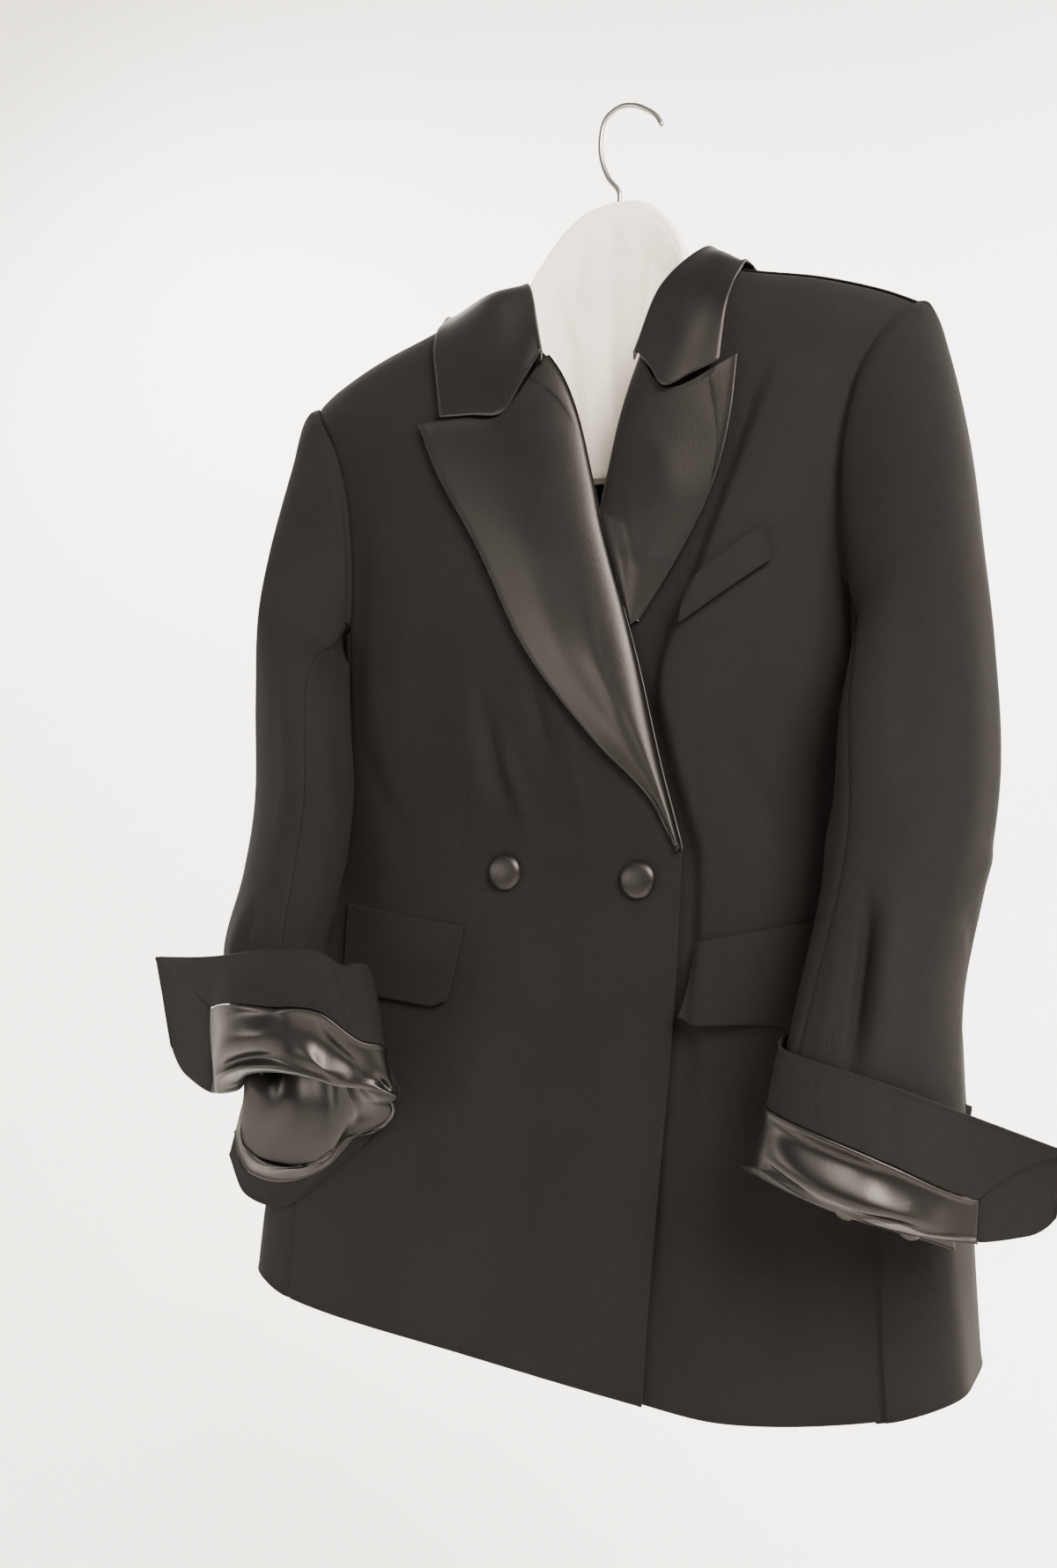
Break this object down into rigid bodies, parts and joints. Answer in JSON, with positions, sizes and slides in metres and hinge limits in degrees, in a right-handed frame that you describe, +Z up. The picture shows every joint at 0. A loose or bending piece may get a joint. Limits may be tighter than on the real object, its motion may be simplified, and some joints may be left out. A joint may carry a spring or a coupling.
{
  "type": "double-breasted tuxedo jacket on a cloth-covered hanger",
  "caption": "Double-breasted tuxedo jacket with satin peak lapels, a satin collar and turned-up cuffs, hung open at the neck on a cloth-covered hanger with a wire hook.",
  "frame": {"origin": "where the top of the hanger's hook bears on what holds it", "axes": "+Z up, the jacket's front towards -Y, the wearer's left at +X"},
  "size_m": [0.657, 0.2131, 0.9282],
  "materials": {
    "outer_cloth": "matt fine worsted wool, very dark warm brown-grey",
    "satin": "black satin with a soft sheen",
    "button_satin": "black satin stretched over a domed button",
    "hanger_cover": "plain cream cotton, soft and lightly creased",
    "hanger_arms": "plain smooth wood",
    "hanger_wire": "bright drawn wire"
  },
  "bodies": {
    "root": {"front_right": "outer_cloth", "front_left": "outer_cloth", "back_right": "outer_cloth", "back_left": "outer_cloth", "side_right": "outer_cloth", "side_left": "outer_cloth", "flap_right": "outer_cloth", "flap_left": "outer_cloth", "breast_welt": "outer_cloth", "sleeve_upper_right": "outer_cloth", "sleeve_under_right": "outer_cloth", "sleeve_upper_left": "outer_cloth", "sleeve_under_left": "outer_cloth", "cuff_facing_right": "outer_cloth", "cuff_facing_left": "outer_cloth", "cuff_vent_right": "outer_cloth", "cuff_vent_left": "outer_cloth", "lapel_right": "satin", "lapel_left": "satin", "collar": "satin", "cuff_satin_right": "satin", "cuff_satin_left": "satin", "front_button_1": "button_satin", "front_button_2": "button_satin", "cuff_button_1": "button_satin", "cuff_button_2": "button_satin", "hanger_arms": "hanger_arms", "hanger_cover": "hanger_cover", "hanger_hook": "hanger_wire"}
  },
  "joints": []
}
